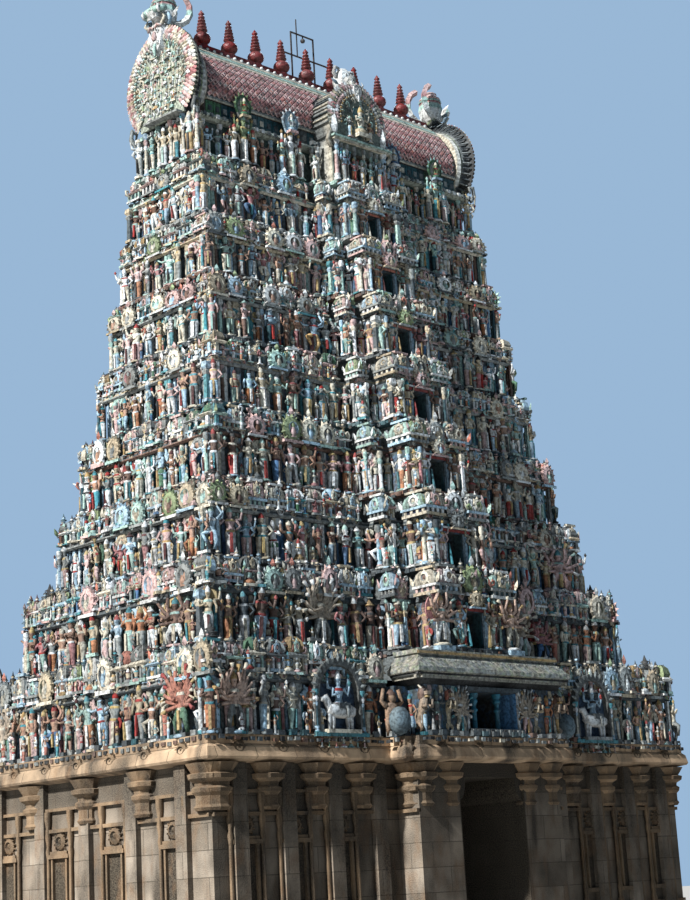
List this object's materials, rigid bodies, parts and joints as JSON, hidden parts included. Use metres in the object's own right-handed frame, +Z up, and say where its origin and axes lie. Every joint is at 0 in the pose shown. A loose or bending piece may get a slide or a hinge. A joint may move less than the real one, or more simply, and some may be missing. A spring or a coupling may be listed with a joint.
{
  "type": "temple gateway tower, scale model 1:2",
  "caption": "Tall stepped temple gateway tower: granite base with a through passage, receding hollow storeys with small shrines, barrel roof with end gables and pot finials.",
  "frame": {"origin": "centre of the base at ground level", "axes": "+Z up, +X along the long side, -Y towards the front with the balcony seen in the picture"},
  "size_m": [16.5, 11, 26.852],
  "materials": {
    "granite": "weathered granite, rough",
    "cornice_stone": "warm weathered stone, rough",
    "wall_paint": "painted lime plaster, matt",
    "ledge_paint": "painted lime plaster, matt",
    "shrine_paint": "painted lime plaster, matt",
    "canopy_stone": "weathered painted stone",
    "pillar_paint": "painted stone, satin",
    "roof_tile": "painted fish-scale tiles",
    "gable_plaster": "painted lime plaster, matt",
    "finial_paint": "maroon paint over metal",
    "iron": "dull painted iron"
  },
  "bodies": {
    "root": {"plinth_left": "granite", "plinth_right": "granite", "granite_wall_left": "granite", "granite_wall_right": "granite", "passage_ceiling": "granite", "granite_cornice": "cornice_stone", "canopy_front": "canopy_stone", "canopy_back": "canopy_stone", "balcony_front_pillar_left": "pillar_paint", "balcony_front_pillar_right": "pillar_paint", "balcony_back_pillar_left": "pillar_paint", "balcony_back_pillar_right": "pillar_paint", "storey_1_walls": "wall_paint", "storey_1_shrines": "shrine_paint", "storey_2_floor": "ledge_paint", "storey_2_walls": "wall_paint", "storey_2_shrines": "shrine_paint", "storey_3_floor": "ledge_paint", "storey_3_walls": "wall_paint", "storey_3_shrines": "shrine_paint", "storey_4_floor": "ledge_paint", "storey_4_walls": "wall_paint", "storey_4_shrines": "shrine_paint", "storey_5_floor": "ledge_paint", "storey_5_walls": "wall_paint", "storey_5_shrines": "shrine_paint", "storey_6_floor": "ledge_paint", "storey_6_walls": "wall_paint", "storey_6_shrines": "shrine_paint", "storey_7_floor": "ledge_paint", "storey_7_walls": "wall_paint", "storey_7_shrines": "shrine_paint", "storey_8_floor": "ledge_paint", "storey_8_walls": "wall_paint", "storey_8_shrines": "shrine_paint", "top_cornice": "ledge_paint", "neck_walls": "wall_paint", "neck_cornice": "ledge_paint", "barrel_roof": "roof_tile", "gable_left": "gable_plaster", "gable_right": "gable_plaster", "dormer_front": "gable_plaster", "dormer_back": "gable_plaster", "ridge_beam": "finial_paint", "iron_frame": "iron", "finial_1": "finial_paint", "finial_2": "finial_paint", "finial_3": "finial_paint", "finial_4": "finial_paint", "finial_5": "finial_paint", "finial_6": "finial_paint", "finial_7": "finial_paint", "finial_8": "finial_paint", "finial_9": "finial_paint"}
  },
  "joints": []
}
